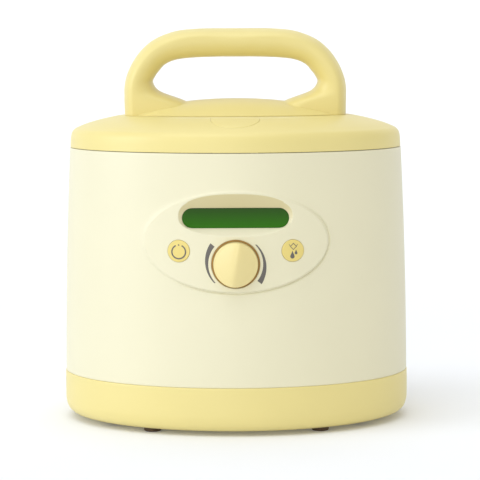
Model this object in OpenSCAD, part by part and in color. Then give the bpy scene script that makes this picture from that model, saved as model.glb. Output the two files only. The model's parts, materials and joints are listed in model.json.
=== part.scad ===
// Electric breast pump with a carrying handle on a hinged lid.
// Millimetres, +Z up, front towards -Y. The origin is on the floor, at the centre of the footprint.

/* [Body] */
// Width of the body at its widest
body_w = 190; // [186:1:194]
// Depth of the body as a fraction of its width
depth_ratio = 0.816; // [0.80:0.002:0.83]
// Height of the feet
foot_h = 2.5; // [2:0.5:4]
// Height of the seam between base tray and housing
base_seam_z = 26.2; // [24:0.2:28]
// Height of the seam between housing and lid
lid_seam_z = 149.8; // [149:0.2:151]
// Wall thickness of the mouldings
wall = 3; // [2.5:0.1:3.2]

/* [Lid and handle] */
// Height of the flat on the lid that the handle stands on
plateau_z = 167.2; // [166.8:0.2:168]
// Width of the handle
handle_w = 122.4; // [118:0.2:125]
// Height of the top of the handle
handle_top_z = 215; // [210:1:220]
// Thickness of the handle from front to back
handle_d = 30; // [26:1:32]
// Radius of the lid release button
release_r = 13; // [11:0.5:13.5]

/* [Control panel] */
// Width of the raised oval panel
panel_w = 97; // [94:1:100]
// Height of the raised oval panel
panel_h = 52.5; // [50:0.5:54]
// Height of the panel's centre
panel_z = 103.5; // [101:0.5:104]
// How far the panel stands out of the housing
panel_raise = 1.4; // [1:0.1:1.6]
// Height of the vacuum knob's axis
knob_z = 92; // [91:0.5:93]
// Radius of the vacuum knob
knob_r = 11.7; // [11:0.1:12.5]
// Radius of the two push buttons
button_r = 5.8; // [5:0.1:6]
// Distance of each push button from the middle
button_x = 29.8; // [28:0.2:32]
// Height of the push buttons
button_z = 98.7; // [96:0.1:100]
// Width of the display window
window_w = 56.2; // [50:0.2:57]
// Height of the display window
window_h = 10.5; // [9:0.1:11]
// Height of the display window's centre
window_z = 115.8; // [114:0.1:117]

/* [Vacuum drive] */
// Radius of each seat for a pumping kit
seat_r = 27; // [25:0.5:27.5]
// Distance of each seat from the middle
seat_x = 42; // [41:0.5:43]
// Distance of the seats behind the middle
seat_y = 6; // [4:0.5:8]
// Travel of the crosshead and the diaphragms
stroke = 8; // [6:0.5:8]

/* [Hidden] */

$fn = 48;
// Points round each oval ring
ring_n = 72;
// Clearance of a sliding or lifting fit
gap = 0.3;
// Radial clearance of a shaft in its hole
running = 0.05;
// Overlap used where one shape cuts another
cut = 1;

half_w = body_w / 2;
floor_z = foot_h + wall;

// Half width of the outside at each height, from bottom to top
base_profile = [[foot_h, half_w - 6.5], [foot_h + 1.2, half_w - 3.2], [foot_h + 3.5, half_w - 1],
    [foot_h + 7, half_w + 0.1], [foot_h + 12, half_w + 0.3], [base_seam_z, half_w + 0.3]];
housing_profile = [[base_seam_z, half_w], [60, half_w - 0.5], [104, half_w - 1.5],
    [lid_seam_z, half_w - 3.4]];
lid_profile = [[lid_seam_z + gap, half_w - 3.6], [155.5, half_w - 3.9], [158.2, half_w - 4.5],
    [159.8, half_w - 6], [162.7, half_w - 12.6], [166, half_w - 25.5], [plateau_z, half_w - 31]];
lid_inside = [[lid_seam_z, half_w - 6.6], [155.5, half_w - 6.9], [157, half_w - 8.2],
    [159.8, half_w - 15], [163, half_w - 28], [plateau_z - wall, half_w - 36]];
dome_profile = [[plateau_z, handle_w / 2], [169.8, 57], [172.4, 47], [174.4, 34], [175.8, 20],
    [176.4, 9]];
dome_ratio = 0.5;

// Deck under the lid
deck_z = 134;
deck_t = 3;
deck_top = deck_z + deck_t;
seat_wall = 3;
seat_floor_z = 120;
seat_floor_t = 2.5;
port_r = 20;

// Diaphragms and their clamp rings
diaphragm_t = 1.5;
clamp_t = 2.5;
clamp_r = 30;
clamp_screw_ring_r = 28.4;
plate_r = 9;
plate_t = 1.5;
plate_z = seat_floor_z - diaphragm_t - stroke - plate_t;

// Crosshead, seen at the bottom of its stroke
beam_z = 92;
beam_h = 6;
beam_w = 10;
beam_len = 104;
riser_r = 3;
rod_x = 22;
rod_r = 2.5;
bush_r = 4.2;

// Gears: standard involutes with stub teeth
gear_mod = 0.8;
rack_mod = 1;
gear_n = 40;
motor_n = 12;
rack_n = 15;
pressure_angle = 20;
tooth_height = 0.75;
tooth_root = 1;
backlash = 0.2;
gear_x = 10;
gear_z = 78;
gear_y = 12;
gear_w = 5;
rack_pitch_x = gear_x - rack_mod * rack_n / 2;
motor_x = gear_x + gear_mod * (gear_n + motor_n) / 2;
gear_shaft_r = 2;

// Chassis of the drive
chassis_bottom = 55;
chassis_top = 115;
chassis_t = 3;
chassis_front_y = -5;
chassis_rear_y = 20;
isolator_h = 6;
isolators = [[-8, -20], [8, -20], [-8, 32], [8, 32]];

// Motor
motor_r = 14;
motor_len = 38;
motor_shaft_r = 1.5;
motor_boss_r = 5;

// Hinge at the rear edge of the lid
hinge_y = 78.5;
hinge_z = 151.5;
hinge_r = 4.2;
hinge_pin_r = 1.75;
knuckle_half = 14;
hinge_half = 26;

// Lining and gasket under the lid, and the screws of lining and handle
liner_z = 152.2;
liner_t = 1.6;
gasket_z = 148.6;
liner_screw_spots = [[-70, 20], [70, 20], [-40, -48], [40, -48], [-30, 56], [30, 56]];
handle_screw_spots = [for (x = [-53, 53], y = [-8, 8]) [x, y]];
// Heights where the outer and the inner arch of the handle begin, and the opening's half width
// and top
spring_z = 184.6;
grip_z = 185.4;
grip_half = 45.5;
grip_top_z = 199.3;

// Lid release
release_y = -54;
release_rise = 0.8;
release_base_z = 160;
latch_travel = 2;
latch_z = 155.6;
latch_t = 2;
latch_half = 8;
latch_rear_y = -36;
hook_y = -64.5;
hook_low_z = 143.6;
spring_end_y = -25.4;
catch_y = -66.9;
// Wedge under the button: its tip, and the height of its 45 degree face
wedge_z = 156;
wedge_front_y = -57;
wedge_tip_y = -55;
wedge_h = 4;

// Control panel
// Display recess: its outline on the panel, and the planes of the window's front and back
recess_half = 30.2;
recess_z = 117;
recess_rise = 11.9;
recess_fall = 10.5;
recess_curve = 2.36;
window_front_y = 72;
window_back_y = 70;
board_y = -60;
board_t = 1.6;
board_rear_y = -42;
dial_ring = 1.1;
dial_depth = 1.5;
knob_out = 8;
knob_ridge = 4;
button_proud = 0.8;

// Rear slot for the program card
card_w = 54;
card_t = 1.6;
card_z = 52;
card_front_y = 33;
card_rear_y = 80;

// Mains inlet
inlet_z = 36.5;
inlet_w = 24;
inlet_h = 14;

foot_x = 45;
foot_y = 55;
foot_r = 4.6;

// Angle round the oval of the corner bosses, and how far they stand in from the widest outline
boss_angle = 35;
base_boss_in = 13;
deck_boss_in = 10.6;
boss_r = 5;
screw_r = 1.5;
screw_head_r = 3.2;

function half_depth(half) = half * depth_ratio;
function on_oval(half, angle) = [half * cos(angle), half_depth(half) * sin(angle)];
function boss_spots(inset_by) = [for (t = [boss_angle, 180 - boss_angle, 180 + boss_angle,
    -boss_angle]) on_oval(half_w - inset_by, t)];
// Front surface of the panel at height z, a distance x from the middle
function panel_y(x, z, out = panel_raise) = let(half = lookup(z, housing_profile) + out)
    -half_depth(half) * sqrt(1 - pow(x / half, 2));
// Angle by which the surface turns away from the front at x
function panel_turn(x, z) = let(half = lookup(z, housing_profile))
    atan(x * pow(depth_ratio, 2) / -panel_y(x, z));

// Closed solid through oval rings; profile is a list of [height, half width]
module oval_loft(profile, ratio = depth_ratio) {
    last = len(profile) - 1;
    points = [for (level = profile, i = [0 : ring_n - 1])
        [level[1] * cos(360 * i / ring_n), level[1] * ratio * sin(360 * i / ring_n), level[0]]];
    bottom = [for (i = [0 : ring_n - 1]) i];
    top = [for (i = [ring_n - 1 : -1 : 0]) last * ring_n + i];
    sides = [for (k = [0 : last - 1], i = [0 : ring_n - 1]) let(j = (i + 1) % ring_n)
        [k * ring_n + i, (k + 1) * ring_n + i, (k + 1) * ring_n + j, k * ring_n + j]];
    polyhedron(points, concat([bottom], [top], sides));
}

// Profile with every ring brought in by a distance
function inset(profile, by) = [for (level = profile) [level[0], level[1] - by]];

// Flat oval plate
module oval_plate(half, thickness, ratio = depth_ratio) {
    linear_extrude(thickness)
        polygon([for (i = [0 : ring_n - 1]) [half * cos(360 * i / ring_n),
            half * ratio * sin(360 * i / ring_n)]]);
}

// Extrudes a drawing in X and Z from y0 back to y1
module along_y(y0, y1) {
    translate([0, y1, 0]) rotate([90, 0, 0]) linear_extrude(y1 - y0) children();
}

// Round bar along Y
module rod_y(x, z, r, y0, y1) {
    translate([x, y1, z]) rotate([90, 0, 0]) cylinder(r = r, h = y1 - y0);
}

// Round bar along X
module rod_x_bar(y, z, r, x0, x1) {
    translate([x0, y, z]) rotate([0, 90, 0]) cylinder(r = r, h = x1 - x0);
}

module box_at(low, high) {
    translate(low) cube(high - low);
}

// Pan-head screw pointing up, with its head's underside at z = 0
module screw_up(r, length, head_r = 2.8, head_h = 1.8) {
    translate([0, 0, -head_h]) cylinder(r = head_r, h = head_h);
    cylinder(r = r, h = length);
}

module screw_down(r, length, head_r = 2.8, head_h = 1.8) {
    mirror([0, 0, 1]) screw_up(r, length, head_r, head_h);
}

module pill(width, height) {
    for (side = [-1, 1]) translate([side * (width - height) / 2, 0]) circle(d = height);
    square([width - height, height], center = true);
}

module oval_2d(half, ratio) {
    polygon([for (i = [0 : ring_n - 1]) [half * cos(360 * i / ring_n),
        half * ratio * sin(360 * i / ring_n)]]);
}

// Place a part on the panel surface at x, its own +Z pointing straight out of the panel
module on_panel(x, z) {
    translate([x, panel_y(x, z), z]) rotate([0, 0, panel_turn(x, z)]) rotate([90, 0, 0])
        children();
}

// ---- Housing ----

module housing_shell() {
    color("#eee8c7") difference() {
        union() {
            difference() {
                union() {
                    oval_loft(housing_profile);
                    intersection() {
                        oval_loft(inset(housing_profile, -panel_raise));
                        translate([0, 0, panel_z]) along_y(-half_w, -half_w / 2)
                            oval_2d(panel_w / 2, panel_h / panel_w);
                    }
                }
                oval_loft(concat([[base_seam_z - cut, half_w - wall]],
                    inset(housing_profile, wall), [[lid_seam_z + cut, half_w - 3.4 - wall]]));
            }
            intersection() {
                oval_loft(inset(housing_profile, wall / 2));
                housing_bosses();
            }
            hinge_knuckle_fixed();
        }
        display_recess();
        window_hole();
        rod_y(0, knob_z, 3.6, -half_w, board_y - 5);
        rod_y(0, knob_z, knob_r + dial_ring, -half_w, panel_y(0, knob_z) + dial_depth);
        for (x = [-button_x, button_x]) on_panel(x, button_z)
            translate([0, 0, -8]) cylinder(r = button_r + gap, h = 12);
        for (spot = boss_spots(base_boss_in)) translate([spot.x, spot.y, base_seam_z - cut])
            cylinder(r = screw_r, h = 19);
        for (spot = boss_spots(deck_boss_in)) translate([spot.x, spot.y, deck_z - 13])
            cylinder(r = screw_r, h = 14);
        for (x = [-40, 40], z = [82, 124]) rod_y(x, z, 1.1, board_y - 6, board_y + cut);
        box_at([-card_w / 2 - gap, 66, card_z - card_t / 2 - gap],
            [card_w / 2 + gap, 84, card_z + card_t / 2 + gap]);
        box_at([-inlet_w / 2, 66, inlet_z - inlet_h / 2], [inlet_w / 2, 84, inlet_z + inlet_h / 2]);
    }
}

// Screw bosses, latch catch and the thicker wall behind the display, all inside the housing
module housing_bosses() {
    box_at([-35, -half_w, 106.2], [35, -67.5, 132]);
    for (spot = boss_spots(base_boss_in)) translate([spot.x, spot.y, base_seam_z]) {
        cylinder(r = boss_r, h = 22);
        rotate(atan2(spot.y, spot.x)) box_at([0, -1.2, 0], [20, 1.2, 22]);
    }
    for (spot = boss_spots(deck_boss_in)) translate([spot.x, spot.y, deck_z - 18])
        cylinder(r = boss_r, h = 18);
    for (x = [-40, 40], z = [82, 124]) rod_y(x, z, 3, -half_w, board_y);
    box_at([-10, -half_w, 145.4], [10, catch_y, 147.6]);
    box_at([-33, 60, 46.6], [33, half_w, card_z - 4]);
}

// A quarter of the recess outline, u running from its top or bottom out to its side
function recess_quarter(u, rise) = [recess_half * pow(sin(90 * u), 2 / recess_curve),
    rise * pow(cos(90 * u), 2 / recess_curve)];

// The point of the window's edge that belongs to it
function window_quarter(u) = let(r = window_h / 2, reach = window_w / 2 - r,
    along = pow(u, 0.8) * (reach + r * PI / 2), turn = max(0, along - reach) / r * 180 / PI)
    [min(along, reach) + r * sin(turn), r * cos(turn)];

// Ring a share k of the way from the window out to the outline on the panel
function recess_ring(k) = [for (t = [0 : 5 : 355]) let(side = cos(t) < 0 ? -1 : 1,
    up = sin(t) < 0 ? -1 : 1, u = 1 - asin(abs(sin(t))) / 90,
    p = recess_quarter(u, up > 0 ? recess_rise : recess_fall), w = window_quarter(u),
    y = panel_y(p[0], recess_z + up * p[1]))
    [side * (w[0] + (p[0] - w[0]) * k), -window_front_y + (y + window_front_y) * k,
        (window_z + up * w[1]) * (1 - k) + (recess_z + up * p[1]) * k]];

// Funnel from the panel's surface down to the flat window
module display_recess() {
    mouth = recess_ring(1.12);
    points = concat(recess_ring(-0.04), mouth, [for (p = mouth) [p[0], -half_w, p[2]]]);
    n = len(mouth);
    polyhedron(points, concat([[for (i = [0 : n - 1]) i]], [[for (i = [n - 1 : -1 : 0]) 2 * n + i]],
        [for (k = [0, 1], i = [0 : n - 1]) let(a = k * n + i, b = k * n + (i + 1) % n)
            each [[a, a + n, b + n], [a, b + n, b]]]));
}

// Hole for the window through the front wall
module window_hole() {
    translate([0, 0, window_z]) along_y(-window_front_y, -60) pill(window_w + 0.2, window_h + 0.2);
}

// Centre knuckle of the hinge, moulded on the rear wall
module hinge_knuckle_fixed() {
    difference() {
        union() {
            rod_x_bar(hinge_y, hinge_z, hinge_r, -knuckle_half, knuckle_half);
            translate([-knuckle_half, 0, 0]) rotate([90, 0, 90]) linear_extrude(2 * knuckle_half)
                polygon([[72.4, 140], [75, 140], [hinge_y + hinge_r, hinge_z - 4],
                    [hinge_y + hinge_r, hinge_z], [hinge_y - 2, hinge_z], [74, lid_seam_z - gap],
                    [72.4, lid_seam_z - gap]]);
        }
        rod_x_bar(hinge_y, hinge_z, hinge_pin_r, -knuckle_half - cut, knuckle_half + cut);
    }
}

module base_tray() {
    color("#ecdf9a") difference() {
        union() {
            difference() {
                oval_loft(base_profile);
                oval_loft([[floor_z, half_w - 6.5], [floor_z + 3, half_w - 3.5],
                    [base_seam_z + cut, half_w - wall]]);
            }
            intersection() {
                oval_loft(inset(base_profile, wall / 3));
                for (spot = boss_spots(base_boss_in)) translate([spot.x, spot.y, 0])
                    cylinder(r = boss_r, h = base_seam_z);
            }
            for (x = [-50, 50]) box_at([x - 2, board_rear_y - 3.6, foot_h + 1],
                [x + 2, board_rear_y + 5, 22]);
        }
        for (spot = boss_spots(base_boss_in)) translate([spot.x, spot.y, 0]) {
            cylinder(r = screw_r + 0.3, h = 40);
            cylinder(r = screw_head_r, h = floor_z + 8);
        }
        for (x = [-foot_x, foot_x], y = [-foot_y, foot_y]) translate([x, y, 0])
            cylinder(r = 2.2, h = 12);
        for (x = [-50, 50]) box_at([x - 3, board_rear_y, 14], [x + 3, board_rear_y + board_t, 30]);
        // row of ventilation slots in the floor
        for (x = [-18 : 6 : 18]) box_at([x - 1, 28, 0], [x + 1, 52, floor_z + cut]);
    }
}

module foot(x, y) {
    color("#4a4238") translate([x, y, 0]) {
        cylinder(r = foot_r, h = foot_h);
        cylinder(r = 2.2, h = floor_z + 0.2);
        translate([0, 0, floor_z]) cylinder(r1 = 2.9, r2 = 2.1, h = 1.8);
    }
}

module foot_front_left() { foot(-foot_x, -foot_y); }
module foot_front_right() { foot(foot_x, -foot_y); }
module foot_rear_left() { foot(-foot_x, foot_y); }
module foot_rear_right() { foot(foot_x, foot_y); }

module base_screws() {
    color("#b9bcc0") for (spot = boss_spots(base_boss_in)) translate([spot.x, spot.y, floor_z + 8])
        screw_up(screw_r, 26);
}

// ---- Deck with the two kit seats ----

module top_deck() {
    color("#f1ecd8") difference() {
        union() {
            translate([0, 0, deck_z]) oval_plate(half_w - 6.2, deck_t);
            for (side = [-1, 1]) translate([side * seat_x, seat_y, seat_floor_z])
                cylinder(r = seat_r + seat_wall, h = deck_z - seat_floor_z + cut);
            for (spot = isolators) translate([spot.x, spot.y, chassis_top + isolator_h])
                cylinder(r = 4, h = deck_z + cut - chassis_top - isolator_h);
        }
        for (side = [-1, 1]) translate([side * seat_x, seat_y, 0]) {
            translate([0, 0, seat_floor_z + seat_floor_t]) cylinder(r = seat_r, h = 20);
            cylinder(r = port_r, h = deck_z);
            for (t = [0 : 60 : 300]) rotate(t) translate([clamp_screw_ring_r, 0, seat_floor_z - cut])
                cylinder(r = 0.8, h = 6);
        }
        for (spot = boss_spots(deck_boss_in)) translate([spot.x, spot.y, deck_z - cut])
            cylinder(r = screw_r + 0.2, h = deck_t + 2 * cut);
        for (spot = isolators) translate([spot.x, spot.y, chassis_top])
            cylinder(r = 1.2, h = isolator_h + 8);
    }
}

module deck_screws() {
    color("#b9bcc0") for (spot = boss_spots(deck_boss_in)) translate([spot.x, spot.y, deck_top])
        screw_down(screw_r, 14);
}

// ---- Display and controls ----

module display_window() {
    color("#3a6a28") translate([0, 0, window_z]) along_y(-window_front_y, -window_back_y)
        pill(window_w, window_h);
}

module lcd_module() {
    color("#5c6b52") translate([0, 0, window_z]) along_y(-window_back_y, -window_back_y + 2.5)
        square([50, 8.6], center = true);
}

module control_board() {
    color("#2f6b3a") difference() {
        box_at([-46, board_y, 76], [46, board_y + board_t, 130]);
        for (x = [-40, 40], z = [82, 124]) rod_y(x, z, 1.2, board_y - cut, board_y + 3);
    }
}

module control_screws() {
    color("#b9bcc0") for (x = [-40, 40], z = [82, 124]) {
        rod_y(x, z, 1.1, board_y - 6, board_y + board_t);
        rod_y(x, z, 2.2, board_y + board_t, board_y + board_t + 1.4);
    }
}

module encoder_body() {
    color("#7a7f85") difference() {
        union() {
            box_at([-6.5, board_y - 6.5, knob_z - 6.5], [6.5, board_y, knob_z + 6.5]);
            rod_y(0, knob_z, 3.5 + cut, board_y - 8, board_y - 6);
        }
        rod_y(0, knob_z, 2.5 + running, board_y - 9, board_y - 2);
    }
}

module encoder_shaft() {
    color("#c9ccd0") rod_y(0, knob_z, 2.5, -81, board_y - 2.2);
}

// Round dial with a raised grip ridge across its face
module vacuum_knob() {
    crest_y = panel_y(0, knob_z) - knob_out;
    face_y = crest_y + knob_ridge;
    color("#f2e6b4") difference() {
        union() {
            rod_y(0, knob_z, knob_r, face_y + 0.8, panel_y(0, knob_z) + dial_depth - gap);
            rod_y(0, knob_z, knob_r - 0.5, face_y, face_y + 0.8);
            intersection() {
                rod_y(0, knob_z, knob_r - 0.9, crest_y, face_y);
                translate([0, face_y, knob_z]) linear_extrude(3 * knob_r, center = true)
                    polygon([[-knob_r, 0], [-4, -0.4 * knob_ridge], [0, -knob_ridge],
                        [4, -0.4 * knob_ridge], [knob_r, 0]]);
            }
        }
        rod_y(0, knob_z, 2.5, -81, -half_w / 2);
    }
}

// Cap of a push button with a flange that keeps it behind the wall
module push_button(x) {
    color("#efe3a0") on_panel(x, button_z) {
        translate([0, 0, -5.6]) cylinder(r = button_r, h = 5.6 + button_proud);
        translate([0, 0, -5.6]) cylinder(r = button_r + 1.4, h = 1.2);
    }
}

module power_button() { push_button(-button_x); }
module letdown_button() { push_button(button_x); }

module key_boot(x) {
    color("#8b8f93") on_panel(x, button_z) translate([0, 0, -5.7 - 3]) difference() {
        cylinder(r1 = 4.6, r2 = 3.2, h = 3);
        translate([0, 0, -cut]) cylinder(r = 2.2, h = 3);
    }
}

module key_boot_left() { key_boot(-button_x); }
module key_boot_right() { key_boot(button_x); }

module key_switch(x) {
    color("#2c2d30") intersection() {
        on_panel(x, button_z) translate([0, 0, -20]) cylinder(r = 4.8, h = 11.3);
        box_at([-half_w, -half_w, 80], [half_w, board_y, 120]);
    }
}

module key_switch_left() { key_switch(-button_x); }
module key_switch_right() { key_switch(button_x); }

// ---- Electronics and power ----

module main_board() {
    color("#2f6b3a") difference() {
        box_at([-56, board_rear_y, 14], [56, board_rear_y + board_t, 70]);
        for (x = [-50, 50]) rod_y(x, 64, 1.6, board_rear_y - cut, board_rear_y + 2);
    }
}

module board_components() {
    color("#33363a") {
        box_at([-20, board_rear_y - 2.4, 34], [-4, board_rear_y, 50]);
        box_at([8, board_rear_y - 1.8, 30], [20, board_rear_y, 42]);
        for (x = [-44, -33]) rod_y(x, 54, 4, board_rear_y - 12, board_rear_y);
        for (x = [26, 38]) rod_y(x, 24, 5, board_rear_y - 14, board_rear_y);
        box_at([-44, board_rear_y - 8, 18], [-26, board_rear_y, 26]);
        box_at([-15, board_rear_y - 6, 60], [15, board_rear_y, 66]);
    }
}

module ribbon_cable() {
    color("#c8c4b8") translate([-11, 0, 0]) rotate([90, 0, 90]) linear_extrude(22)
        polygon([[-48, 62], [-48.6, 62], [-54, 66.5], [-56.5, 74], [-58.4, 79], [-58.4, 86],
            [-57.6, 86], [-57.6, 79], [-55.6, 74.4], [-53.4, 67.2], [-48.4, 63], [-48, 63]]);
}

module transformer() {
    color("#6a6d72") {
        box_at([16, -18, floor_z], [66, 18, 44]);
        for (y = [-23, 18]) box_at([23, y, 12], [59, y + 5, 38]);
    }
}

module battery_pack() {
    color("#3d5f8c") box_at([-73, -30, floor_z], [-7, 28, 41]);
}

// Sheet metal strap over the battery with a foot at each end
module battery_bracket() {
    color("#9a9ea3") translate([-48, 0, 0]) rotate([90, 0, 90]) linear_extrude(16)
        polygon([[-38, floor_z], [-30, floor_z], [-30, 41], [28, 41], [28, floor_z], [36, floor_z],
            [36, floor_z + 1.2], [29.2, floor_z + 1.2], [29.2, 42.2], [-31.2, 42.2],
            [-31.2, floor_z + 1.2], [-38, floor_z + 1.2]]);
}

module card_reader() {
    color("#55585c") difference() {
        box_at([-30, 30, card_z - 4], [30, 69, card_z + 4]);
        box_at([-card_w / 2 - gap, card_front_y - gap, card_z - card_t / 2 - gap],
            [card_w / 2 + gap, 70, card_z + card_t / 2 + gap]);
    }
}

module program_card() {
    color("#d8dad8") {
        box_at([-card_w / 2, card_front_y, card_z - card_t / 2],
            [card_w / 2, card_rear_y, card_z + card_t / 2]);
    }
}

// Figure-eight mains inlet in the rear wall
module power_inlet() {
    color("#1f2022") difference() {
        union() {
            box_at([-inlet_w / 2, 62, inlet_z - inlet_h / 2], [inlet_w / 2, 78, inlet_z + inlet_h / 2]);
            box_at([-inlet_w / 2 - 3, 68, inlet_z - inlet_h / 2 - 3],
                [inlet_w / 2 + 3, 71, inlet_z + inlet_h / 2 + 3]);
        }
        translate([0, 0, inlet_z]) along_y(66, 80) {
            for (x = [-4.3, 4.3]) translate([x, 0]) circle(r = 4.4);
            square([8.6, 6], center = true);
        }
    }
}

module inlet_pins() {
    color("#d9d3b8") for (x = [-4.3, 4.3]) rod_y(x, inlet_z, 1.2, 66, 75);
}

// ---- Vacuum drive ----

function involute(angle) = tan(angle) * 180 / PI - angle;
// Half the angle that a tooth fills at radius r
function tooth_half(r, n, m) = let(base = m * n * cos(pressure_angle) / 2)
    90 / n - backlash / (m * n) * 180 / PI / 2 + involute(pressure_angle)
    - involute(r > base ? acos(base / r) : 0);

module gear_2d(n, m, turn = 0) {
    root = m * (n / 2 - tooth_root);
    tip = m * (n / 2 + tooth_height);
    flank = [for (k = [0 : 5]) root + (tip - root) * k / 5];
    polygon([for (tooth = [0 : n - 1]) let(mid = 360 * tooth / n + turn) each concat(
        [for (r = flank) let(t = mid - tooth_half(r, n, m)) [r * cos(t), r * sin(t)]],
        [for (k = [5 : -1 : 0]) let(r = flank[k], t = mid + tooth_half(r, n, m))
            [r * cos(t), r * sin(t)]])]);
}

// Rack teeth pointing +X, with a tooth level with the gear
module rack_2d(teeth_below, teeth_above) {
    pitch = PI * rack_mod;
    half = pitch / 4 - backlash / 2;
    out = tooth_height * rack_mod;
    in = tooth_root * rack_mod;
    slope = tan(pressure_angle);
    polygon(concat([[rack_pitch_x - 6.5, gear_z - (teeth_below + 1) * pitch]],
        [[rack_pitch_x - in, gear_z - (teeth_below + 1) * pitch]],
        [for (k = [-teeth_below : teeth_above]) let(z = gear_z + k * pitch) each [
            [rack_pitch_x - in, z - half - in * slope], [rack_pitch_x + out, z - half + out * slope],
            [rack_pitch_x + out, z + half - out * slope], [rack_pitch_x - in, z + half + in * slope]]],
        [[rack_pitch_x - in, beam_z + cut], [rack_pitch_x - 6.5, beam_z + cut]]));
}

module pump_chassis() {
    color("#a7abb0") difference() {
        union() {
            box_at([-30, chassis_front_y, chassis_bottom],
                [36, chassis_front_y + chassis_t, chassis_top - cut]);
            box_at([-30, chassis_rear_y, chassis_bottom],
                [48, chassis_rear_y + chassis_t, chassis_top - cut]);
            box_at([-30, chassis_front_y, chassis_bottom],
                [36, chassis_rear_y + chassis_t, chassis_bottom + chassis_t]);
            box_at([-25.5, -26, chassis_top - chassis_t], [25.5, 38, chassis_top]);
        }
        for (x = [-rod_x, rod_x]) translate([x, seat_y, 0]) cylinder(r = rod_r, h = 200);
        rod_y(gear_x, gear_z, gear_shaft_r, -20, 40);
        rod_y(motor_x, gear_z, motor_boss_r, 10, 40);
        for (t = [45 : 90 : 315]) rod_y(motor_x + 9 * cos(t), gear_z + 9 * sin(t), 1.2, 10, 40);
        for (spot = isolators) translate([spot.x, spot.y, 0]) cylinder(r = 1.4, h = 200);
        for (side = [0, 1]) mirror([side, 0, 0]) box_at([25.5, -30, beam_z], [60, 40, 200]);
    }
}

module pump_isolators() {
    color("#2b2b2d") for (spot = isolators) translate([spot.x, spot.y, chassis_top]) difference() {
        cylinder(r = 4.5, h = isolator_h);
        translate([0, 0, -cut]) cylinder(r = 1.4, h = isolator_h + 2 * cut);
    }
}

module chassis_screws() {
    color("#b9bcc0") for (spot = isolators)
        translate([spot.x, spot.y, chassis_top - chassis_t]) screw_up(1.2, 16, 2.6, 1.6);
}

module guide_rods() {
    color("#cfd2d6") for (x = [-rod_x, rod_x]) translate([x, seat_y, chassis_bottom])
        cylinder(r = rod_r, h = chassis_top - chassis_bottom);
}

module gear_shaft() {
    color("#cfd2d6") rod_y(gear_x, gear_z, gear_shaft_r, chassis_front_y, chassis_rear_y + chassis_t);
}

// Two gears in one moulding: the large one meets the motor pinion, the small one drives the rack
module reduction_gear() {
    color("#e6e2d4") difference() {
        translate([gear_x, 0, gear_z]) union() {
            along_y(gear_y, gear_y + gear_w) gear_2d(gear_n, gear_mod);
            along_y(seat_y - 4, gear_y) gear_2d(rack_n, rack_mod);
            rod_y(0, 0, 5, gear_y + gear_w, gear_y + gear_w + 2.5);
        }
        rod_y(gear_x, gear_z, gear_shaft_r + running, -20, 40);
    }
}

module motor_body() {
    rear = chassis_rear_y + chassis_t;
    color("#8f9499") difference() {
        union() {
            rod_y(motor_x, gear_z, motor_r, rear, rear + motor_len);
            rod_y(motor_x, gear_z, motor_boss_r, rear - 2.5, rear);
            rod_y(motor_x, gear_z, 6, rear + motor_len, rear + motor_len + 2);
        }
        rod_y(motor_x, gear_z, motor_shaft_r + running, 10, rear + 16);
        for (t = [45 : 90 : 315]) rod_y(motor_x + 9 * cos(t), gear_z + 9 * sin(t), 1.2, 10, rear + 5);
    }
}

module motor_screws() {
    color("#b9bcc0") for (t = [45 : 90 : 315]) {
        rod_y(motor_x + 9 * cos(t), gear_z + 9 * sin(t), 1.2, chassis_rear_y, 27);
        rod_y(motor_x + 9 * cos(t), gear_z + 9 * sin(t), 2, chassis_rear_y - 1.2, chassis_rear_y);
    }
}

module motor_shaft() {
    color("#d7dade") rod_y(motor_x, gear_z, motor_shaft_r, gear_y - 1, 38);
}

module motor_pinion() {
    color("#c9a648") difference() {
        translate([motor_x, 0, gear_z]) along_y(gear_y - 0.5, gear_y + gear_w + 0.5)
            gear_2d(motor_n, gear_mod, 180 / motor_n);
        rod_y(motor_x, gear_z, motor_shaft_r, 0, 30);
    }
}

module crosshead() {
    color("#dcd8ca") difference() {
        union() {
            box_at([-beam_len / 2, seat_y - beam_w / 2, beam_z],
                [beam_len / 2, seat_y + beam_w / 2, beam_z + beam_h]);
            along_y(seat_y - 4, seat_y + 4) rack_2d(4, 3);
        }
        for (x = [-rod_x, rod_x]) translate([x, seat_y, 0]) cylinder(r = bush_r, h = 200);
        for (x = [-seat_x, seat_x]) translate([x, seat_y, 0]) cylinder(r = riser_r, h = 200);
    }
}

module crosshead_bushings() {
    color("#b98a4a") for (x = [-rod_x, rod_x]) translate([x, seat_y, beam_z]) difference() {
        cylinder(r = bush_r, h = beam_h);
        translate([0, 0, -cut]) cylinder(r = rod_r + running, h = beam_h + 2 * cut);
    }
}

// Risers and round plates that carry the middles of the diaphragms
module diaphragm_plates() {
    color("#cfd2d6") for (x = [-seat_x, seat_x]) translate([x, seat_y, 0]) {
        translate([0, 0, beam_z]) cylinder(r = riser_r, h = plate_z - beam_z + cut / 2);
        translate([0, 0, plate_z]) cylinder(r = plate_r, h = plate_t);
    }
}

// Rubber disc, clamped at its rim and held by the plate at its middle
module diaphragm(side) {
    low = plate_z + plate_t;
    high = seat_floor_z - diaphragm_t;
    color("#d9d4c8") translate([side * seat_x, seat_y, 0]) rotate_extrude() polygon([
        [0, low], [plate_r + 1, low], [port_r - 1.5, high], [26, high], [26, seat_floor_z],
        [port_r - 2.2, seat_floor_z], [plate_r + 0.3, low + diaphragm_t], [0, low + diaphragm_t]]);
}

module diaphragm_left() { diaphragm(-1); }
module diaphragm_right() { diaphragm(1); }

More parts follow.
